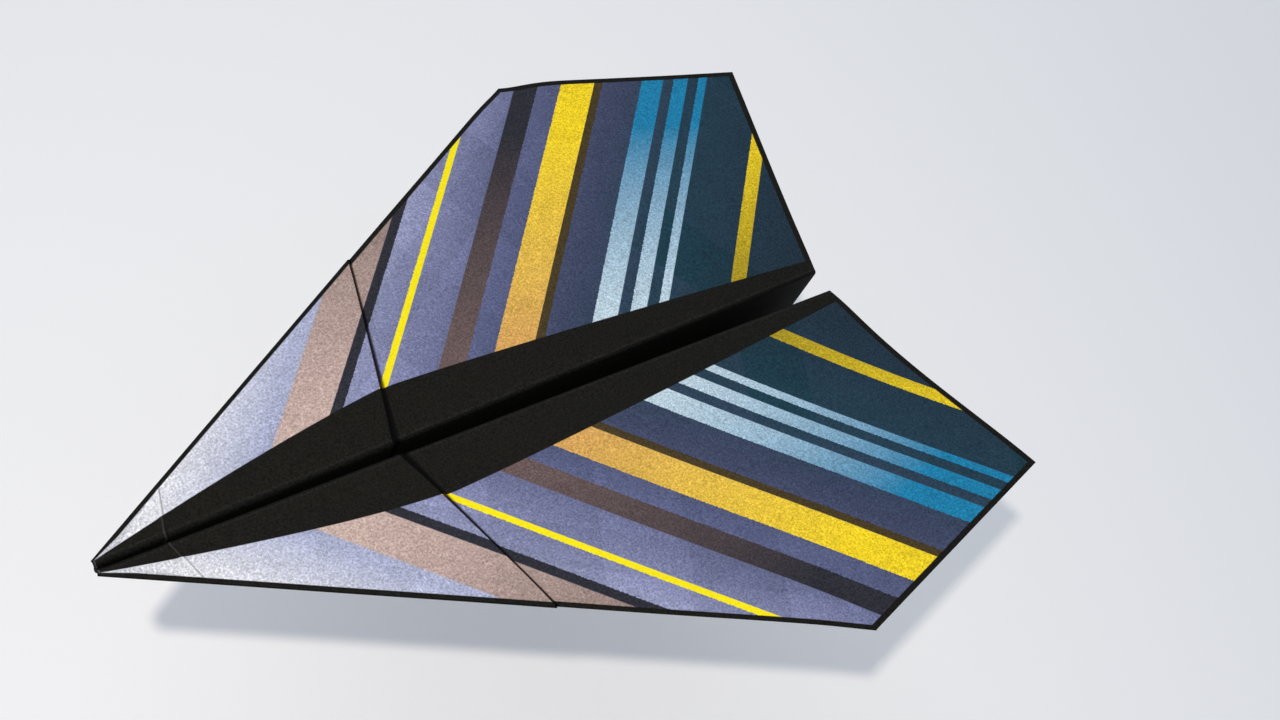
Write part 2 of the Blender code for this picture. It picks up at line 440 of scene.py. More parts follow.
# %% [markdown]
# ## Runs and turns along the sheet
#
# From its tail the sheet runs forward to the nose, folds over, runs back to the seam, folds again and ends
# at its raw front edge. So along its length it is a profile of flat runs and half turns. Each run lists
# stations aft of the nose and levels for two skins, the printed one and its back, half a paper thickness
# either side of the ply's middle.

# %% Runs and turns along the sheet
TURN_STEPS = 9
SKINS = np.array([[0.5], [-0.5]]) * PAPER


def run(start, end, level):
    """A flat stretch of one ply: its stations, and its level for each skin."""
    inside = STATIONS[(STATIONS >= start) & (STATIONS <= end)]
    return np.stack([inside, inside]), level + SKINS + np.zeros_like(inside)


def half_turn(at, level, radius, way):
    """A fold: half a circle about a place and a level, that swells along the sheet in one way."""
    angle = np.linspace(0, np.pi, TURN_STEPS)
    return at + way * (radius + SKINS) * np.sin(angle), level + (radius + SKINS) * np.cos(angle)


def joined(*profiles):
    """Profiles put end to end."""
    return tuple(np.concatenate(values, axis=1) for values in zip(*profiles))


def backward(profile):
    """The same stretch from its other end."""
    return profile[0][:, ::-1], profile[1][:, ::-1]


def turned_over(profile):
    """The same stretch with its skins exchanged, as on a ply that has been folded over."""
    return profile[0], profile[1][::-1]


def between(profile, start, end):
    """The part of a profile between two stations."""
    kept = (profile[0][0] >= start) & (profile[0][0] <= end)
    return profile[0][:, kept], profile[1][:, kept]


base_ply = run(0, FOLDED_LENGTH, BASE_LEVEL)
top_ply = run(0, SEAM, TOP_LEVEL)
seam_turn = half_turn(SEAM, (TOP_LEVEL + TUCK_LEVEL) / 2, (TOP_LEVEL - TUCK_LEVEL) / 2, 1)
nose_ply = joined(top_ply, seam_turn)
tuck_ply = turned_over(run(RAW_EDGE, SEAM, TUCK_LEVEL))
nose_turn = backward(half_turn(0, (TOP_LEVEL + BASE_LEVEL) / 2, (TOP_LEVEL - BASE_LEVEL) / 2, -1))
print("points along the base ply", base_ply[0].shape[1], "and the nose ply", nose_ply[0].shape[1])

# %% [markdown]
# ## Across the sheet
#
# Each section carries a run of the sheet sideways, and its share v goes from 0 to 1 along the way. The
# sections follow each other across the half sheet: up the keel wall, over the crease, out on the wing,
# round the leading edge, back under the wing, down the crease's hollow side and onto the outside of the
# keel. The nose fold, where p is below 0, is carried round with them, and so the tip is closed.

# %% Across the sheet


def keel_wall(p, v):
    """From the bottom crease up to the wing crease."""
    return p, v * SLOPE * p, 0.0, 1.0


def crease_bend(p, v):
    """Round the wing crease, from the keel to the wing."""
    return p, SLOPE * p, 0.0, 1 - v


def wing_top(p, v):
    """From the wing crease out to the leading edge, or to the side edge behind it."""
    return p, SLOPE * p + v * (np.minimum(p, HALF_WIDTH) - SLOPE * p), 0.0, 0.0


def leading_bend(p, v):
    """Round the leading edge, from the top to the underside. The nose fold swells forward on top and
    toward the middle underneath, and turns from one to the other in step with v."""
    edge, swell = np.maximum(p, 0), np.minimum(p, 0)
    return edge + (1 - v) * swell, edge + (v + (1 - v) * SLOPE) * swell, v, 0.0


def flap_under(p, v):
    """Under the wing, from the leading edge in to the crease, or aft to the flap's raw edge."""
    return p + v * (np.minimum(p / SLOPE, HALF_WIDTH) - p), p, 1.0, 0.0


def flap_bend(p, v):
    """Round the hollow side of the wing crease, from under the wing to the keel."""
    return np.maximum(p, 0) / SLOPE, p, 1.0, v


def flap_keel(p, v):
    """Outside the keel, from the wing crease aft to the flap's raw edge."""
    front = np.maximum(p, 0) / SLOPE
    return front + v * (HALF_WIDTH - front), p, 1.0, 1.0


print("the flap meets the keel", round(FLAP_ROOT / MM, 1), "mm up at its raw edge")

# %% [markdown]
# ## Relief
#
# The doubled nose isn't quite flat. Paper springs back from a fold, so the seam stands a little proud and
# throws a thin shadow. The raw edge inside presses through the top ply as a ridge, and ahead of it one ply
# is missing, so the top sinks there. These are fractions of a millimetre, but light shows them.

# %% Relief
SEAM_LIFT, SPRING_REACH, HOLD_REACH = 0.6 * MM, 24 * MM, 4 * MM
RIDGE_HEIGHT, RIDGE_WIDTH, RIDGE_HOLD = 0.2 * MM, 0.42 * MM, 1 * MM
PRESS_DEPTH, PRESS_SLOPE = 0.1 * MM, 1.3 * MM


def flat(p, x, y):
    """No relief: the base sheet."""
    return 0.0


def tuck_relief(p, x, y):
    """How far the folded nose springs up from the base sheet: nothing until close to the seam, then as the
    square of the share. It is held down at the wing crease and at the leading edge."""
    near_seam = np.clip((p - SEAM + SPRING_REACH) / SPRING_REACH, 0, 1)
    return SEAM_LIFT * near_seam**2 * held(y - SLOPE * x, HOLD_REACH) * held(x - y, HOLD_REACH)


def nose_relief(p, x, y):
    """The top ply springs up too. Over the tucked raw edge it stands in a ridge, a bell curve, and ahead of
    that edge, as far as the nose fold, it eases down toward the ply that is missing under it."""
    ahead = np.clip((RAW_EDGE - p) / PRESS_SLOPE, 0, 1) * np.clip(p / HOLD_REACH, 0, 1)
    ridge = RIDGE_HEIGHT * np.exp(-(((p - RAW_EDGE) / RIDGE_WIDTH) ** 2))
    pressed = PRESS_DEPTH * ahead**2 * (3 - 2 * ahead)
    return tuck_relief(p, x, y) + held(x - y, RIDGE_HOLD) * (ridge - pressed)


print("the seam stands", round(SEAM_LIFT / MM, 2), "mm proud, the ridge", round(RIDGE_HEIGHT / MM, 2), "mm")

# %% [markdown]
# ## Patches
#
# A patch is one profile carried across one section, as a grid of points for each skin. With every point
# goes its place on the sheet, as three numbers that the print can read: x, y, and a count of turns that is
# below 0 in the groove, 0 on top, 1 under the wing and above 1 outside the keel.

# %% Patches
KEEL_COLUMNS = 14
# A place with more turns than this is under the wing or outside the keel
UNDER_WING = 0.5


def patch(side, profile, section, columns, relief=flat):
    """A profile carried across a section: points of both skins, and where each lies on the sheet."""
    place, level = profile[0][..., None], profile[1][..., None]
    share = np.linspace(0, 1, columns)
    x, y, lead, bend, level = np.broadcast_arrays(*section(place, share), level)
    level = level + (1 - bend) * relief(place, x, y)
    turns = lead + np.where(lead > UNDER_WING, bend, -bend)
    return folded(side, x, y, level, lead, bend), np.stack([x, y, turns], axis=-1)


def bottom_patch(side, profile, columns):
    """A profile carried round the bottom crease, from straight down to the keel wall."""
    place, level = profile[0][..., None], profile[1][..., None]
    x, level, bend = np.broadcast_arrays(place, level, np.linspace(0, 1, columns))
    return keel_side(side, x, level, bend), np.stack([x, 0 * x, 0 * x - 1], axis=-1)


print("a keel wall as a patch:", patch("left", base_ply, keel_wall, KEEL_COLUMNS)[0].shape)

# %% [markdown]
# ## From patches to skins
#
# A skin alone would do for a picture, but paper has a thickness, and its cut edges show as pale lines.
# Solidify could add that. Here the two skins are already known, so it is exact to weld each skin's patches,
# find the edges that only one face uses, and close those with a rim.

# %% From patches to skins
WELD = 0.001 * MM


def grid_triangles(rows, columns):
    """Two triangles for each cell of a grid of points."""
    first = np.arange(rows * columns).reshape(rows, columns)
    a, b, c, d = first[:-1, :-1], first[1:, :-1], first[1:, 1:], first[:-1, 1:]
    return np.concatenate([np.stack(corners, -1).reshape(-1, 3) for corners in ((a, b, c), (a, c, d))])


def weld(patches):
    """Patches joined into one surface: points closer than the weld share an index, and flattened faces
    are dropped."""
    skins = np.concatenate([points.reshape(2, -1, 3) for points, _ in patches], axis=1)
    sheet = np.concatenate([places[0].reshape(-1, 3) for _, places in patches])
    starts = np.cumsum([0] + [places[0, ..., 0].size for _, places in patches])
    faces = [grid_triangles(*places.shape[1:3]) + start for (_, places), start in zip(patches, starts)]
    rounded = np.round(skins[0] / WELD)
    _, first, same = np.unique(rounded, axis=0, return_index=True, return_inverse=True)
    faces = same.reshape(-1)[np.concatenate(faces)]
    whole = (faces != np.roll(faces, 1, axis=1)).all(axis=1)
    return skins[:, first], sheet[first], faces[whole]


def rim(faces, count):
    """A band between the two skins along every edge that only one face uses."""
    edges = np.concatenate([faces[:, [0, 1]], faces[:, [1, 2]], faces[:, [2, 0]]])
    paired = np.isin(edges @ (count, 1), edges[:, ::-1] @ (count, 1))
    a, b = edges[~paired].T
    return np.concatenate([np.stack([b, a, a + count], -1), np.stack([b, a + count, b + count], -1)])


print("patches weld where points lie within", round(WELD / MM, 3), "mm")

# %% [markdown]
# ## From skins to paper
#
# Printed skin, back and rim get three material slots. Where two pieces of paper run on into each other
# nothing was cut, so there the rim takes the print. A ply that was folded over, or is on the other side,
# comes out of the formula inside out. Blender can recalculate normals, but the sign of a closed shell's
# volume tells as well, and then all its faces are turned.

# %% From skins to paper
SHARP_ANGLE = np.radians(40)
PRINT_SLOT, BACK_SLOT, EDGE_SLOT = range(3)


def is_cut(sheet):
    """Whether places lie on the sheet's cut sides or tail. Under the wing the corner was turned over at 45
    degrees, so there x and y change places."""
    under = sheet[:, 2:] > UNDER_WING
    unfolded = np.where(under, sheet[:, 1::-1], sheet[:, :2])
    return (unfolded > (FOLDED_LENGTH - WELD, HALF_WIDTH - WELD)).any(axis=1)


def outward(points, faces):
    """Faces of a closed shell, turned to point outward. The shell's volume is a sixth of the sum of each
    face's first corner dotted with the cross product of the others, and is below 0 if it is inside out."""
    a, b, c = points[faces].transpose(1, 0, 2)
    volume = np.einsum("ij,ij->i", a, np.cross(b, c)).sum() / 6
    return faces if volume > 0 else faces[:, ::-1]


def paper_piece(name, patches, materials):
    """A solid piece of paper from patches of its two skins."""
    skins, sheet, faces = weld(patches)
    points, count = skins.reshape(-1, 3), len(sheet)
    band = rim(faces, count)
    cut = is_cut(sheet)[band[:, :2] % count].all(axis=1)
    slots = np.repeat((PRINT_SLOT, BACK_SLOT, PRINT_SLOT), (len(faces), len(faces), len(band)))
    slots[-len(band):][cut] = EDGE_SLOT
    mesh = bpy.data.meshes.new(name)
    mesh.from_pydata(points, [], outward(points, np.concatenate([faces, faces[:, ::-1] + count, band])))
    mesh.polygons.foreach_set("material_index", slots.astype(np.int32))
    places = mesh.attributes.new("sheet", "FLOAT_VECTOR", "POINT")
    places.data.foreach_set("vector", np.tile(sheet, (2, 1)).astype(np.float32).ravel())
    for material in materials:
        mesh.materials.append(material)
    mesh.shade_smooth()
    mesh.set_sharp_from_angle(angle=SHARP_ANGLE)
    mesh.update()
    return add_object(name, mesh)


print("paper", round(PAPER / MM, 2), "mm thick, sharp beyond", round(np.degrees(SHARP_ANGLE)), "degrees")

# %% [markdown]
# ## Helpers for masks, inks and groups
#
# Ink needs a few more helpers. Masks say where an ink goes, from 0 to 1, and come from distances. A mix
# lays one colour over another. A node group keeps an effect that several materials share in one place.

# %% Helpers for masks, inks and groups
# Places of the colour sockets on a Mix node, which has others for numbers and vectors
MIX_SHARE, MIX_FIRST, MIX_SECOND, MIX_RESULT = 0, 6, 7, 2


def gap(tree, value, place):
    """How far a value is from a place, either way."""
    return sums(tree, "ABSOLUTE", sums(tree, "SUBTRACT", value, place))


def rest(tree, mask):
    """What a mask leaves out: one minus it."""
    return sums(tree, "SUBTRACT", 1.0, mask)


def ease(tree, value, start, end):
    """0 at start, 1 at end, straight between and held outside them."""
    node = tree.nodes.new("ShaderNodeMapRange")
    for socket, number in zip(node.inputs, (value, start, end, 0.0, 1.0)):
        feed(tree, socket, number)
    return node.outputs[0]


def blend_inks(tree, share, first, second, kind="MIX"):
    """A colour between two colours."""
    node = tree.nodes.new("ShaderNodeMix")
    node.data_type = "RGBA"
    node.blend_type = kind
    for socket, value in ((MIX_SHARE, share), (MIX_FIRST, first), (MIX_SECOND, second)):
        feed(tree, node.inputs[socket], value)
    return node.outputs[MIX_RESULT]


def new_group(name, inputs, outputs):
    """A shader node group with named sockets: its tree, its input node and its output node."""
    tree = bpy.data.node_groups.new(name, "ShaderNodeTree")
    for title, kind in inputs.items():
        tree.interface.new_socket(title, in_out="INPUT", socket_type=f"NodeSocket{kind}")
    for title, kind in outputs.items():
        tree.interface.new_socket(title, in_out="OUTPUT", socket_type=f"NodeSocket{kind}")
    return tree, tree.nodes.new("NodeGroupInput"), tree.nodes.new("NodeGroupOutput")


def use_group(tree, group, **values):
    """Places a group in a tree and feeds its inputs."""
    node = tree.nodes.new("ShaderNodeGroup")
    node.node_tree = group
    for title, value in values.items():
        feed(tree, node.inputs[title.replace("_", " ")], value)
    return node.outputs


print("more helpers: gap, rest, ease, blend_inks, new_group, use_group")

# %% [markdown]
# ## Paper grain
#
# Looked at closely, printed paper is never one colour: ink soaks into the fibres unevenly. A fine speckle
# and soft clouds give that, with thin fibres that lie in three directions and a few longer scuffs from a
# thumbnail run along the folds, across the sheet. Every paper surface uses them, so they are a node group,
# with values that go to colour, roughness and bump.

# %% Paper grain
SPECKLE_SIZE, SPECKLE_RANGE = 0.45 * MM, (0.28, 0.72)
CLOUD_SIZE = 8 * MM
FIBRE_SIZE, FIBRE_STRETCH, FIBRE_RANGE = 0.36 * MM, 5.5, (0.6, 0.78)
FIBRE_ANGLES = (0.45, -0.7, 1.4)
SCUFF_SIZE, SCUFF_STRETCH, SCUFF_RANGE = 0.42 * MM, 6, (0.66, 0.74)
SCUFF_ANGLE = np.pi / 2
STREAK_DETAIL, SPECKLE_DETAIL, CLOUD_DETAIL = 1.0, 2.0, 4.0
SOFT_NOISE, ROUGH_NOISE = 0.5, 0.6


def noise(tree, vector, size, detail, roughness):
    """Noise of a given grain size, from about 0 to 1."""
    node = tree.nodes.new("ShaderNodeTexNoise")
    node.inputs["Scale"].default_value = 1 / size
    node.inputs["Detail"].default_value = detail
    node.inputs["Roughness"].default_value = roughness
    tree.links.new(vector, node.inputs["Vector"])
    return node.outputs["Fac"]


def streaks(tree, vector, angle, size, stretch, kept):
    """Thin streaks: noise stretched along one direction and kept only where it is high. A Mapping node of
    the texture kind turns the place first and stretches it after, so the streaks lie along the angle."""
    turn = tree.nodes.new("ShaderNodeMapping")
    turn.vector_type = "TEXTURE"
    turn.inputs["Rotation"].default_value = (0, 0, angle)
    turn.inputs["Scale"].default_value = (stretch, 1, 1)
    tree.links.new(vector, turn.inputs["Vector"])
    return ease(tree, noise(tree, turn.outputs["Vector"], size, STREAK_DETAIL, SOFT_NOISE), *kept)


def make_grain():
    """The grain group: speckle, clouds, fibres and scuffs on Object coordinates."""
    titles = ("Speckle", "Clouds", "Fibres", "Scuffs")
    tree, _, outside = new_group("paper_grain", {}, {title: "Float" for title in titles})
    place = tree.nodes.new("ShaderNodeTexCoord").outputs["Object"]
    fibres = 0.0
    for angle in FIBRE_ANGLES:
        one_way = streaks(tree, place, angle, FIBRE_SIZE, FIBRE_STRETCH, FIBRE_RANGE)
        fibres = sums(tree, "MAXIMUM", one_way, fibres)
    values = (
        ease(tree, noise(tree, place, SPECKLE_SIZE, SPECKLE_DETAIL, ROUGH_NOISE), *SPECKLE_RANGE),
        noise(tree, place, CLOUD_SIZE, CLOUD_DETAIL, ROUGH_NOISE),
        fibres,
        streaks(tree, place, SCUFF_ANGLE, SCUFF_SIZE, SCUFF_STRETCH, SCUFF_RANGE),
    )
    for title, value in zip(titles, values):
        feed(tree, outside.inputs[title], value)
    return tree


GRAIN = make_grain()
print("grain group:", [socket.name for socket in GRAIN.interface.items_tree])

# %% [markdown]
# ## Stripes
#
# The print is built from one motif, a swept stripe. Its edges are straight lines that run aft as they go
# outboard, so on the two wings together each stripe is a chevron. A stripe is a mask, and it needs only a
# start at the centre line, a width and a sweep. The edge is softened by a fraction of a millimetre and
# wanders with the grain, as ink does.

# %% Stripes
INK_EDGE = 0.16


def make_stripe():
    """The stripe group: 1 where along minus sweep times across lies between start and start plus width."""
    sockets = {title: "Float" for title in ("Along", "Across", "Start", "Width", "Sweep")}
    tree, inside, outside = new_group("swept_stripe", sockets, {"Mask": "Float"})
    along, across, start, width, sweep = (inside.outputs[title] for title in sockets)
    swept = sums(tree, "SUBTRACT", along, product(tree, across, sweep))
    from_start = sums(tree, "SUBTRACT", swept, start)
    to_end = sums(tree, "SUBTRACT", width, from_start)
    edges = (ease(tree, distance, -INK_EDGE / 2, INK_EDGE / 2) for distance in (from_start, to_end))
    feed(tree, outside.inputs["Mask"], product(tree, *edges))
    return tree


STRIPE = make_stripe()
print("stripe group:", len(STRIPE.nodes), "nodes")

# %% [markdown]
# ## Inks
#
# The print goes from a silver nose through lavender and slate to a dark teal tail, with taupe, gold and
# cyan chevrons over it and a yellow line. Colours are written as six-digit codes, the way a print shop
# gives them, and turned into the linear values that shaders take.

# %% Inks
FULL_SHADE = 255
CURVE_KNEE, CURVE_SLOPE, CURVE_OFFSET, CURVE_POWER = 0.04045, 12.92, 0.055, 2.4


def ink(code):
    """A colour from its six-digit code, as linear values: a screen's shades follow a power curve, with a
    straight start up to its knee."""
    shades = np.array(list(bytes.fromhex(code))) / FULL_SHADE
    curve = ((shades + CURVE_OFFSET) / (1 + CURVE_OFFSET)) ** CURVE_POWER
    linear = np.where(shades > CURVE_KNEE, curve, shades / CURVE_SLOPE)
    return (*linear.tolist(), 1.0)


SILVER, PALE_LAVENDER, LAVENDER = ink("DDDCE0"), ink("ABAFC8"), ink("8D90B2")
SLATE, DUSK, TEAL, NIGHT = ink("62678A"), ink("3F4660"), ink("1A3C4A"), ink("14262F")
TAUPE, BROWN, CHARCOAL, OLIVE = ink("CDB3A8"), ink("75605C"), ink("2B2B33"), ink("463A20")
YELLOW, GOLD, TAN = ink("FFEB14"), ink("F6D523"), ink("C98A66")
CYAN, ICE = ink("1B7FA8"), ink("E6F1F3")
# The second black is darker still: painted shade for the inside of the groove
BLACK, GROOVE_BLACK_PAINTED_SHADE, WHITE_PAPER = ink("12110C"), ink("080705"), ink("EDEBE6")
# Painted shade: the seam's dark line with the shadow behind it, and the grey line behind the ridge
SEAM_PAINTED_SHADOW, RIDGE_PAINTED_SHADE = ink("3A3230"), ink("B4B4BC")
print("silver in linear values:", np.round(SILVER, 3))

# %% [markdown]
# ## Ground and chevrons
#
# All of the print is laid out in millimetres on the folded sheet, x aft of the nose and y from the centre
# line, and so it runs on over seams and bends. A colour ramp gives the ground. Plain chevrons are then
# laid over it from nose to tail, right across the span, each in one ink at the middle and one outboard.

# %% Ground and chevrons
SWEEP = 0.5
# Each mark of the ground: how far aft, and its ink
FIELD = (
    (0, SILVER),
    (8, SILVER),
    (24, PALE_LAVENDER),
    (44, LAVENDER),
    (62, SLATE),
    (84, DUSK),
    (104, TEAL),
    (150, NIGHT),
)
FIELD_END = FIELD[-1][0]
OUTBOARD = (14, 92)
# Each chevron: start, width, ink at the middle and ink outboard
CHEVRONS = (
    (27, 10, TAUPE, BROWN),
    (37, 2.4, CHARCOAL, CHARCOAL),
    (46, 1.7, YELLOW, YELLOW),
    (58, 6, BROWN, CHARCOAL),
    (70, 9, TAN, GOLD),
    (79, 2.2, OLIVE, OLIVE),
    (92, 6, ICE, CYAN),
    (101, 4, ICE, CYAN),
    (108, 2.4, ICE, CYAN),
    (126, 4, OLIVE, GOLD),
)
# Each facet, a faint broad shade: start, width, sweep and strength
FACETS = (
    (96, 30, -0.85, 0.16),
    (150, 26, -0.85, 0.22),
    (196, 60, -0.85, 0.14),
    (18, 13, 0.9, 0.15),
    (-6, 9, 0.8, 0.2),
)


def colour_field(tree, swept):
    """A ramp of inks from nose to tail. A new ramp has its two end marks already."""
    ramp = tree.nodes.new("ShaderNodeValToRGB")
    tree.links.new(ease(tree, swept, 0, FIELD_END), ramp.inputs[0])
    marks = ramp.color_ramp.elements
    for place, _ in FIELD[1:-1]:
        marks.new(place / FIELD_END)
    for mark, (_, colour) in zip(marks, FIELD):
        mark.color = colour
    return ramp.outputs[0]


def striped_ground(tree, along, across):
    """The field with facets and chevrons laid over it in turn, and a mask of the yellow lines."""
    colour = colour_field(tree, sums(tree, "SUBTRACT", along, product(tree, across, SWEEP)))
    outboard = ease(tree, across, *OUTBOARD)
    yellow = 0.0

    def stripe(start, width, sweep=SWEEP):
        return use_group(tree, STRIPE, Along=along, Across=across, Start=start, Width=width, Sweep=sweep)[0]

    for start, width, sweep, strength in FACETS:
        colour = blend_inks(tree, product(tree, stripe(start, width, sweep), strength), colour, DUSK)
    for start, width, inner, outer in CHEVRONS:
        share = stripe(start, width)
        colour = blend_inks(tree, share, colour, blend_inks(tree, outboard, inner, outer))
        if inner == YELLOW:
            yellow = sums(tree, "MAXIMUM", share, yellow)
    return colour, yellow


print(len(CHEVRONS), "chevrons and", len(FACETS), "facets")

# %% [markdown]
# ## Black stripe and keyline
#
# A black stripe runs along the groove. It widens almost evenly from the nose to just behind the seam and
# narrows again to the tail, so its half width is written as two powers of the share of the way. A thin
# black keyline follows the outline. Ahead of the seam the thick bend of the leading edge is black already,
# so the line on top is thinner there than behind it and at the cut edges, and thins out at the tip.

# %% Black stripe and keyline
STRIPE_PEAK, STRIPE_HALF, STRIPE_TAIL = 68.0, 11.7, 2.8
STRIPE_RISE, STRIPE_FALL = 1.35, 1.2
NOSE_LINE, WING_LINE, SIDE_LINE, TAIL_LINE = 0.5, 0.9, 1.25, 1.5
TIP_TAPER = 0.1
ON_TOP = 0.02


def centre_stripe(tree, along, across, turned):
    """A mask of the black stripe, and the distance out from the crease. The stripe's half width is its
    peak, less what it lacks ahead, a power of the share of the way to the peak, and what it lacks aft."""
    cosine, sine = float(np.cos(CREASE_ANGLE)), float(np.sin(CREASE_ANGLE))
    length = FOLDED_LENGTH / MM / cosine
    s = sums(tree, "ADD", product(tree, along, cosine), product(tree, across, sine))
    w = sums(tree, "SUBTRACT", product(tree, across, cosine), product(tree, along, sine))
    ahead = sums(tree, "POWER", ease(tree, s, STRIPE_PEAK, 0), STRIPE_RISE)
    behind = sums(tree, "POWER", ease(tree, s, STRIPE_PEAK, length), STRIPE_FALL)
    lack = product(tree, ahead, STRIPE_HALF)
    lack = sums(tree, "MULTIPLY_ADD", behind, STRIPE_HALF - STRIPE_TAIL, lack)
    depth = sums(tree, "SUBTRACT", sums(tree, "SUBTRACT", STRIPE_HALF, lack), w)
    inside = ease(tree, depth, -INK_EDGE / 2, INK_EDGE / 2)
    on_top = sums(tree, "LESS_THAN", turned, ON_TOP)
    return product(tree, inside, on_top), w


def outline_mask(tree, straight, across):
    """A mask of the keyline, by the distance to the leading edge and to the cut side and tail."""
    to_lead = product(tree, sums(tree, "SUBTRACT", straight, across), float(np.sqrt(0.5)))
    to_side = sums(tree, "SUBTRACT", HALF_WIDTH / MM + TAIL_LINE - SIDE_LINE, across)
    to_tail = sums(tree, "SUBTRACT", FOLDED_LENGTH / MM, straight)
    to_cut = sums(tree, "MINIMUM", to_side, to_tail)
    behind = sums(tree, "GREATER_THAN", straight, SEAM / MM)
    reach = sums(tree, "MULTIPLY_ADD", behind, WING_LINE - NOSE_LINE, NOSE_LINE)
    reach = sums(tree, "MINIMUM", reach, product(tree, straight, TIP_TAPER))
    lead = ease(tree, sums(tree, "SUBTRACT", to_lead, reach), INK_EDGE, 0)
    return sums(tree, "MAXIMUM", lead, ease(tree, to_cut, TAIL_LINE + INK_EDGE, TAIL_LINE))


print("the stripe is", 2 * STRIPE_HALF, "mm wide at its peak,", STRIPE_PEAK, "mm along the crease")

# %% [markdown]
# ## Marks of folding
#
# Folding leaves marks in the ink, and shade is painted in beside them. The seam's rounded fold gets
# painted shade and a painted shadow lies behind it, so it is a dark line with a soft side aft, widest
# at the groove. Over the tucked raw edge the ink is rubbed pale, with a grey line of painted shade
# behind it. Along the crease a trace of white shows. A mark belongs to a place on the flat sheet, so
# under the wing, where the corner was turned over, x and y change places.

# %% Marks of folding
# The seam's painted shade ahead and painted shadow behind, in millimetres, and how it thins outboard
SEAM_FRONT, SEAM_BEHIND = (-0.66, -0.46), (1.4, 0.75)
SEAM_TAPER, SEAM_THINNING = (18, 60), 1.2
RIDGE_REACH, RIDGE_SHADE_SHIFT, RIDGE_LUMPS = 0.28, 0.4, (0.15, 0.45)
RIDGE_RUB, RIDGE_RUB_ON_BLACK = 0.95, 0.035
CREASE_REACH, CREASE_FADE, CREASE_RUB = 0.42, 0.25, 0.012
SPECKLE_RUB = 0.01


def fold_marks(tree, colour, grain, places, masks, wear_and_shade):
    """The colour with its fold marks: the ridge's painted shade, raw edge and crease rubbed white, and
    last the seam's painted shade and shadow. The keyline hides the ridge, and on the black stripe it is
    rubbed less."""
    straight, across, turned, from_crease = places
    stripe, keyline = masks
    under = sums(tree, "GREATER_THAN", turned, UNDER_WING)
    place = sums(tree, "MULTIPLY_ADD", under, sums(tree, "SUBTRACT", across, straight), straight)
    # The seam's dark line: painted shade on the rounded fold and a painted shadow behind it, soft aft
    taper = sums(tree, "MULTIPLY_ADD", ease(tree, across, *SEAM_TAPER), SEAM_THINNING, 1.0)
    behind = product(tree, sums(tree, "SUBTRACT", place, SEAM / MM), taper)
    seam = product(tree, ease(tree, behind, *SEAM_FRONT), ease(tree, behind, *SEAM_BEHIND), wear_and_shade)
    lumps = product(tree, ease(tree, grain["Clouds"], *RIDGE_LUMPS), rest(tree, keyline))
    # The ridge's rubbed line, and just behind it a grey line of painted shade for the ridge's back slope
    ridge, shade = (
        product(tree, ease(tree, gap(tree, place, RAW_EDGE / MM + shift), RIDGE_REACH, 0), lumps, wear_and_shade)
        for shift in (0, RIDGE_SHADE_SHIFT)
    )
    colour = blend_inks(tree, shade, colour, RIDGE_PAINTED_SHADE, "MULTIPLY")
    rub = sums(tree, "MULTIPLY_ADD", rest(tree, stripe), RIDGE_RUB, RIDGE_RUB_ON_BLACK)
    on_crease = ease(tree, sums(tree, "ABSOLUTE", turned), CREASE_FADE, 0)
    crease = product(tree, ease(tree, sums(tree, "ABSOLUTE", from_crease), CREASE_REACH, 0), on_crease)
    rubbed = sums(tree, "MULTIPLY_ADD", crease, CREASE_RUB, SPECKLE_RUB)
    rubbed = sums(tree, "MULTIPLY_ADD", grain["Speckle"], rubbed, product(tree, ridge, rub))
    colour = blend_inks(tree, rubbed, colour, WHITE_PAPER)
    return blend_inks(tree, seam, colour, SEAM_PAINTED_SHADOW, "MULTIPLY")


print("seam mark", round(SEAM / MM, 1), "mm and ridge", round(RAW_EDGE / MM, 1), "mm aft of the nose")

# %% [markdown]
# ## The print
#
# The layers go on in the order of a print shop: ground and chevrons, then black, darker in the groove as
# painted shade, then the paper's own grain, which shades them all, and last the marks of folding with
# their painted shade. The yellow lines are a full solid ink, so the grain shows less in them. One group
# holds it all, with one input for how hard the folds are worn and how strong their painted shade is.

# %% The print
INK_WANDER = 0.22
# How far into the groove the painted shade reaches its full depth
GROOVE_TURN = -0.6
SPECKLE_SHADE, CLOUD_SHADE, FIBRE_LIGHT, SCUFF_LIGHT = 0.72, 0.3, 0.26, 0.28
SOLID_INK = 0.7


def sheet_places(tree):
    """Millimetres aft of the nose and out from the centre line, and the turns, from the sheet attribute."""
    sheet = tree.nodes.new("ShaderNodeAttribute")
    sheet.attribute_name = "sheet"
    split = tree.nodes.new("ShaderNodeSeparateXYZ")
    tree.links.new(sheet.outputs["Vector"], split.inputs[0])
    return [product(tree, split.outputs[axis], scale) for axis, scale in enumerate((1 / MM, 1 / MM, 1))]


def grain_shade(tree, grain):
    """How the grain lightens and darkens ink: factors about 1, multiplied."""
    speckle = sums(tree, "MULTIPLY_ADD", grain["Speckle"], SPECKLE_SHADE, 1 - SPECKLE_SHADE / 2)
    clouds = sums(tree, "MULTIPLY_ADD", grain["Clouds"], CLOUD_SHADE, 1 - CLOUD_SHADE / 2)
    fibres = sums(tree, "MULTIPLY_ADD", grain["Fibres"], FIBRE_LIGHT, 1.0)
    scuffs = sums(tree, "MULTIPLY_ADD", grain["Scuffs"], SCUFF_LIGHT, 1.0)
    return product(tree, speckle, clouds, fibres, scuffs)


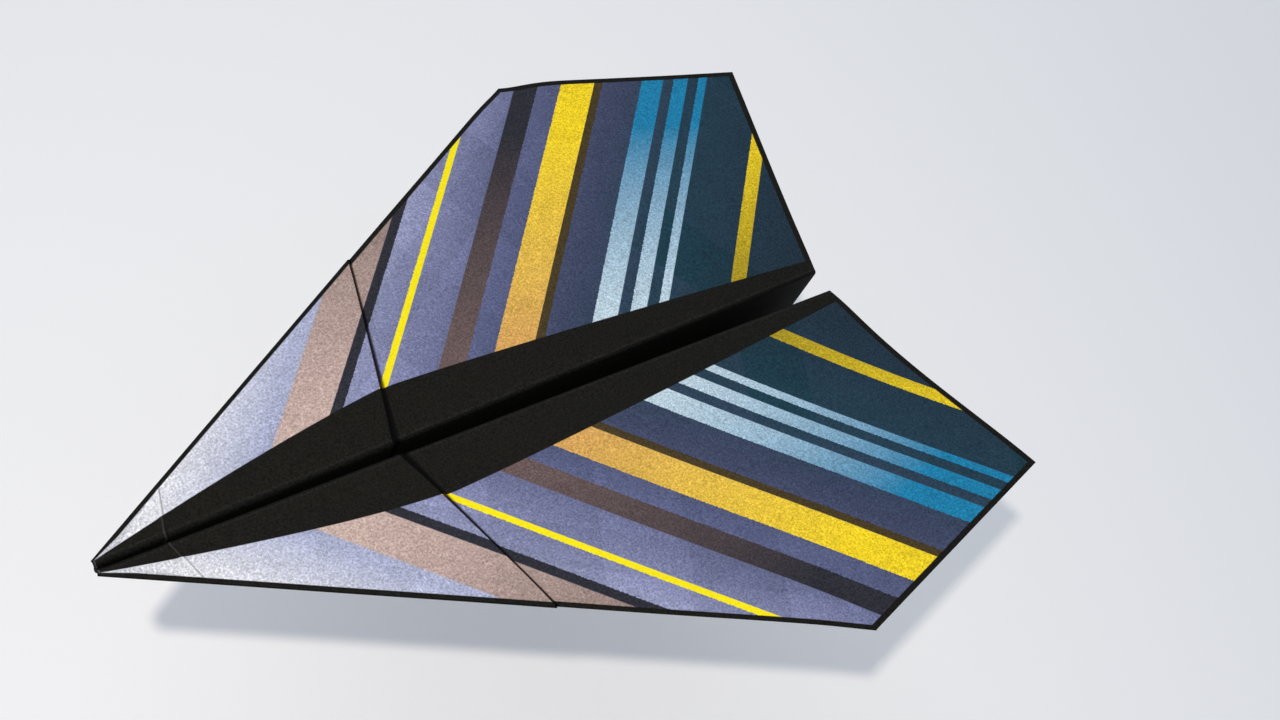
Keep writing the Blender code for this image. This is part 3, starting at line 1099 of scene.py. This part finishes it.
def make_print():
    """The print group: the colour of the ink at a place on the sheet, with painted shade in the groove,
    at the seam and behind the ridge.
    """
    tree, inside, outside = new_group("glider_print", {"Fold Wear": "Float"}, {"Ink": "Color"})
    grain = use_group(tree, GRAIN)
    straight, across, turned = sheet_places(tree)
    wander = sums(tree, "MULTIPLY_ADD", grain["Speckle"], INK_WANDER, -INK_WANDER / 2)
    along = sums(tree, "ADD", straight, wander)

    colour, yellow = striped_ground(tree, along, across)
    stripe, from_crease = centre_stripe(tree, along, across, turned)
    # Deeper into the groove the printed black darkens further, as painted shade between the keel walls
    groove = ease(tree, turned, 0, GROOVE_TURN)
    colour = blend_inks(tree, stripe, colour, blend_inks(tree, groove, BLACK, GROOVE_BLACK_PAINTED_SHADE))
    keyline = outline_mask(tree, straight, across)
    colour = blend_inks(tree, keyline, colour, BLACK)

    solid = product(tree, yellow, rest(tree, sums(tree, "MAXIMUM", stripe, keyline)), SOLID_INK)
    colour = blend_inks(tree, rest(tree, solid), colour, grain_shade(tree, grain), "MULTIPLY")
    places = (straight, across, turned, from_crease)
    colour = fold_marks(tree, colour, grain, places, (stripe, keyline), inside.outputs["Fold Wear"])
    feed(tree, outside.inputs["Ink"], colour)
    return tree


PRINT = make_print()
print("print group:", len(PRINT.nodes), "nodes")

# %% [markdown]
# ## Paper materials
#
# Three kinds of surface show: printed paper, its back, where the print glows through a little, and the cut
# edge. The printed side has four slots, for the nose, the wings, the groove and the flaps, which differ in
# how hard their folds are worn and how strong their painted shade at the seam and ridge is. Paper is matt,
# so the shine is low and the bump very shallow.

# %% Paper materials
PAPER_BUMP, BUMP_STRENGTH, FIBRE_BUMP = 0.03 * MM, 0.35, 0.5
ROUGH_BASE, ROUGH_SPECKLE = 0.56, 0.16
PRINT_SHINE, PAPER_SHINE = 0.05, 0.12
SHOW_THROUGH, SHOW_CLOUDS = 0.08, 0.1
BACK_SHADE, EDGE_SHADE = (0.14, 0.9), (0.2, 0.7)
# How hard each slot's folds are worn, and how strong its painted shade at the seam and ridge is
FOLD_WEAR_AND_SHADE = {"nose_print": 1.0, "wing_print": 0.9, "groove_print": 1.0, "flap_print": 0.7}


def paper_material(name, shine):
    """A material with the paper's grain in roughness and bump, its tree, shader and grain."""
    material, tree, shader = new_material(name)
    shader.inputs["Specular IOR Level"].default_value = shine
    grain = use_group(tree, GRAIN)
    rough = sums(tree, "MULTIPLY_ADD", grain["Speckle"], ROUGH_SPECKLE, ROUGH_BASE)
    feed(tree, shader.inputs["Roughness"], rough)
    bump = tree.nodes.new("ShaderNodeBump")
    bump.inputs["Strength"].default_value = BUMP_STRENGTH
    bump.inputs["Distance"].default_value = PAPER_BUMP
    height = sums(tree, "MULTIPLY_ADD", grain["Fibres"], FIBRE_BUMP, grain["Speckle"])
    feed(tree, bump.inputs["Height"], height)
    feed(tree, shader.inputs["Normal"], bump.outputs["Normal"])
    return material, tree, shader, grain


def printed(name, wear_and_shade):
    """Printed paper, with its folds worn, and their painted shade laid in, by that much."""
    material, tree, shader, _ = paper_material(name, PRINT_SHINE)
    feed(tree, shader.inputs["Base Color"], use_group(tree, PRINT, Fold_Wear=wear_and_shade)["Ink"])
    return material


def bare_paper(tree, grain_value, shade):
    """White paper, shaded by one of the grain's values."""
    return blend_inks(tree, 1.0, WHITE_PAPER, sums(tree, "MULTIPLY_ADD", grain_value, *shade), "MULTIPLY")


def paper_back():
    """The back of the sheet: bare paper with a little of the print showing through in soft clouds."""
    material, tree, shader, grain = paper_material("paper_back", PAPER_SHINE)
    bare = bare_paper(tree, grain["Speckle"], BACK_SHADE)
    through = use_group(tree, PRINT, Fold_Wear=0.0)["Ink"]
    glow = sums(tree, "MULTIPLY_ADD", grain["Clouds"], SHOW_CLOUDS, SHOW_THROUGH)
    feed(tree, shader.inputs["Base Color"], blend_inks(tree, glow, bare, through))
    return material


def cut_edge():
    """The cut edge of the sheet: bare paper, a little grey with loose fibres."""
    material, tree, shader, grain = paper_material("cut_edge", PAPER_SHINE)
    feed(tree, shader.inputs["Base Color"], bare_paper(tree, grain["Fibres"], EDGE_SHADE))
    return material


BACK, EDGE = paper_back(), cut_edge()
INKS = {slot: printed(slot, wear_and_shade) for slot, wear_and_shade in FOLD_WEAR_AND_SHADE.items()}
print("materials:", BACK.name, EDGE.name, *INKS)

# %% [markdown]
# ## Wings
#
# Each wing has three layers of the sheet: the base sheet from nose to tail, the doubled nose ply on top of
# it, and the tucked ply between them. All three wrap round the leading edge and come back underneath as
# the turned corner, so each is one continuous piece that stands for several flat panels and bends of the
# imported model. The nose ply starts with the nose fold, which closes its tip.

# %% Wings
WING_COLUMNS, EDGE_COLUMNS, FLAP_COLUMNS = 44, 9, 34
# Each piece: name, fold at the tip, ply, relief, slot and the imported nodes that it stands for
WING_PIECES = (
    ("wing_sheet", (), base_ply, flat, "wing_print", ("wing_panel", "leading_fold", "wing_flap_panel")),
    ("wing_nose_ply", (nose_turn,), nose_ply, nose_relief, "nose_print",
     ("wing_nose_top_ply", "leading_fold_nose", "seam_fold", "flap_seam_fold", "wing_flap_outer_ply")),
    ("wing_tuck", (), tuck_ply, tuck_relief, "nose_print", ("wing_nose_inner_ply", "wing_flap_inner_ply")),
)


def add_piece(name, side, patches, slot, stands_for):
    """Makes a piece of paper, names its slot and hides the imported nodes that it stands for."""
    piece = paper_piece(f"{side}_{name}", patches, (INKS[slot], BACK, EDGE))
    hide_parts(*(f"{side}_{node}" for node in stands_for))
    return piece


def wing_patches(side, tip, ply, relief):
    """A ply's top, its bend round the leading edge from the tip on, and its turned-under corner."""
    front = between(ply, 0, HALF_WIDTH)
    return [
        patch(side, ply, wing_top, WING_COLUMNS, relief),
        patch(side, joined(*tip, front), leading_bend, EDGE_COLUMNS, relief),
        patch(side, front, flap_under, FLAP_COLUMNS, relief),
    ]


for side in SIDES:
    for name, tip, ply, relief, slot, nodes in WING_PIECES:
        piece = add_piece(name, side, wing_patches(side, tip, ply, relief), slot, nodes)
        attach(piece, f"{side}_wing")
        print(piece.name, len(piece.data.polygons), "faces")

# %% [markdown]
# ## Keel
#
# The keel's two halves are what a hand holds. Inside each is the base sheet with the doubled nose on it.
# Outside is the turned corner, whose lower edge is the old nose fold, so there the sheet runs down, round
# that edge and up again as one piece. The halves swing on the bottom crease, so they ride on the keel's
# own bodies.

# %% Keel
flap_front = between(base_ply, 0, FLAP_ROOT)
flap_outer = between(top_ply, 0, FLAP_ROOT)
flap_tuck = between(tuck_ply, RAW_EDGE, FLAP_ROOT)
flap_wrap = joined(turned_over(backward(flap_front)), nose_turn, flap_outer)
# Each piece: name, ply, section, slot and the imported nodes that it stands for
KEEL_PIECES = (
    ("keel_wall", base_ply, keel_wall, "groove_print", ("keel_panel",)),
    ("keel_nose_ply", nose_ply, keel_wall, "groove_print", ("keel_nose_top_ply",)),
    ("keel_tuck", tuck_ply, keel_wall, "groove_print", ("keel_nose_inner_ply",)),
    ("keel_flap", flap_wrap, flap_keel, "flap_print",
     ("keel_flap_panel", "keel_edge_fold", "keel_flap_outer_ply")),
    ("keel_flap_tuck", flap_tuck, flap_keel, "flap_print", ("keel_flap_inner_ply",)),
)
for side in SIDES:
    for name, ply, section, slot, nodes in KEEL_PIECES:
        piece = add_piece(name, side, [patch(side, ply, section, KEEL_COLUMNS)], slot, nodes)
        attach(piece, f"{side}_keel")
        print(piece.name, len(piece.data.polygons), "faces")

# %% [markdown]
# ## Wing creases
#
# Where a wing folds out from the keel, all six plies bend round one line, the hinge. Each ply's bend is a
# strip of a circle about that line, built at rest, with its place baked into its points.

# %% Wing creases
CREASE_COLUMNS = 15
# Each strip: name, ply, section, relief, level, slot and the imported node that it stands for
CREASE_PIECES = (
    ("crease_base", base_ply, crease_bend, flat, BASE_LEVEL, "groove_print", ("wing_crease",)),
    ("crease_nose", joined(nose_turn, nose_ply), crease_bend, nose_relief, TOP_LEVEL, "groove_print",
     ("wing_crease_nose",)),
    ("crease_tuck", tuck_ply, crease_bend, flat, TUCK_LEVEL, "groove_print", ()),
    ("crease_flap", flap_front, flap_bend, flat, -BASE_LEVEL, "flap_print", ()),
    ("crease_flap_tuck", flap_tuck, flap_bend, flat, -TUCK_LEVEL, "flap_print", ()),
    ("crease_flap_outer", joined(nose_turn, flap_outer), flap_bend, nose_relief, -TOP_LEVEL,
     "flap_print", ()),
)


for side in SIDES:
    for name, ply, section, relief, level, slot, nodes in CREASE_PIECES:
        piece = add_piece(name, side, [patch(side, ply, section, CREASE_COLUMNS, relief)], slot, nodes)
        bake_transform(piece)
    print(side, "creases:", len(CREASE_PIECES), "strips")

# %% [markdown]
# ## Bottom crease
#
# The bottom of the keel is one round bend through both halves. It is split down the middle, where the body
# that the whole glider is held by lies, and each half runs from there round to its keel wall.

# %% Bottom crease
BOTTOM_COLUMNS = 9
# Each half bend: name, ply and level
BOTTOM_PIECES = (
    ("keel_bend", base_ply, BASE_LEVEL),
    ("keel_bend_nose", joined(nose_turn, top_ply), TOP_LEVEL),
    ("keel_bend_tuck", tuck_ply, TUCK_LEVEL),
)
for side in SIDES:
    for name, ply, level in BOTTOM_PIECES:
        piece = add_piece(name, side, [bottom_patch(side, ply, BOTTOM_COLUMNS)], "groove_print", ())
        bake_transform(piece)
        if level == BASE_LEVEL:
            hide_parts("keel_fold")
    print(side, "bottom bends:", len(BOTTOM_PIECES))
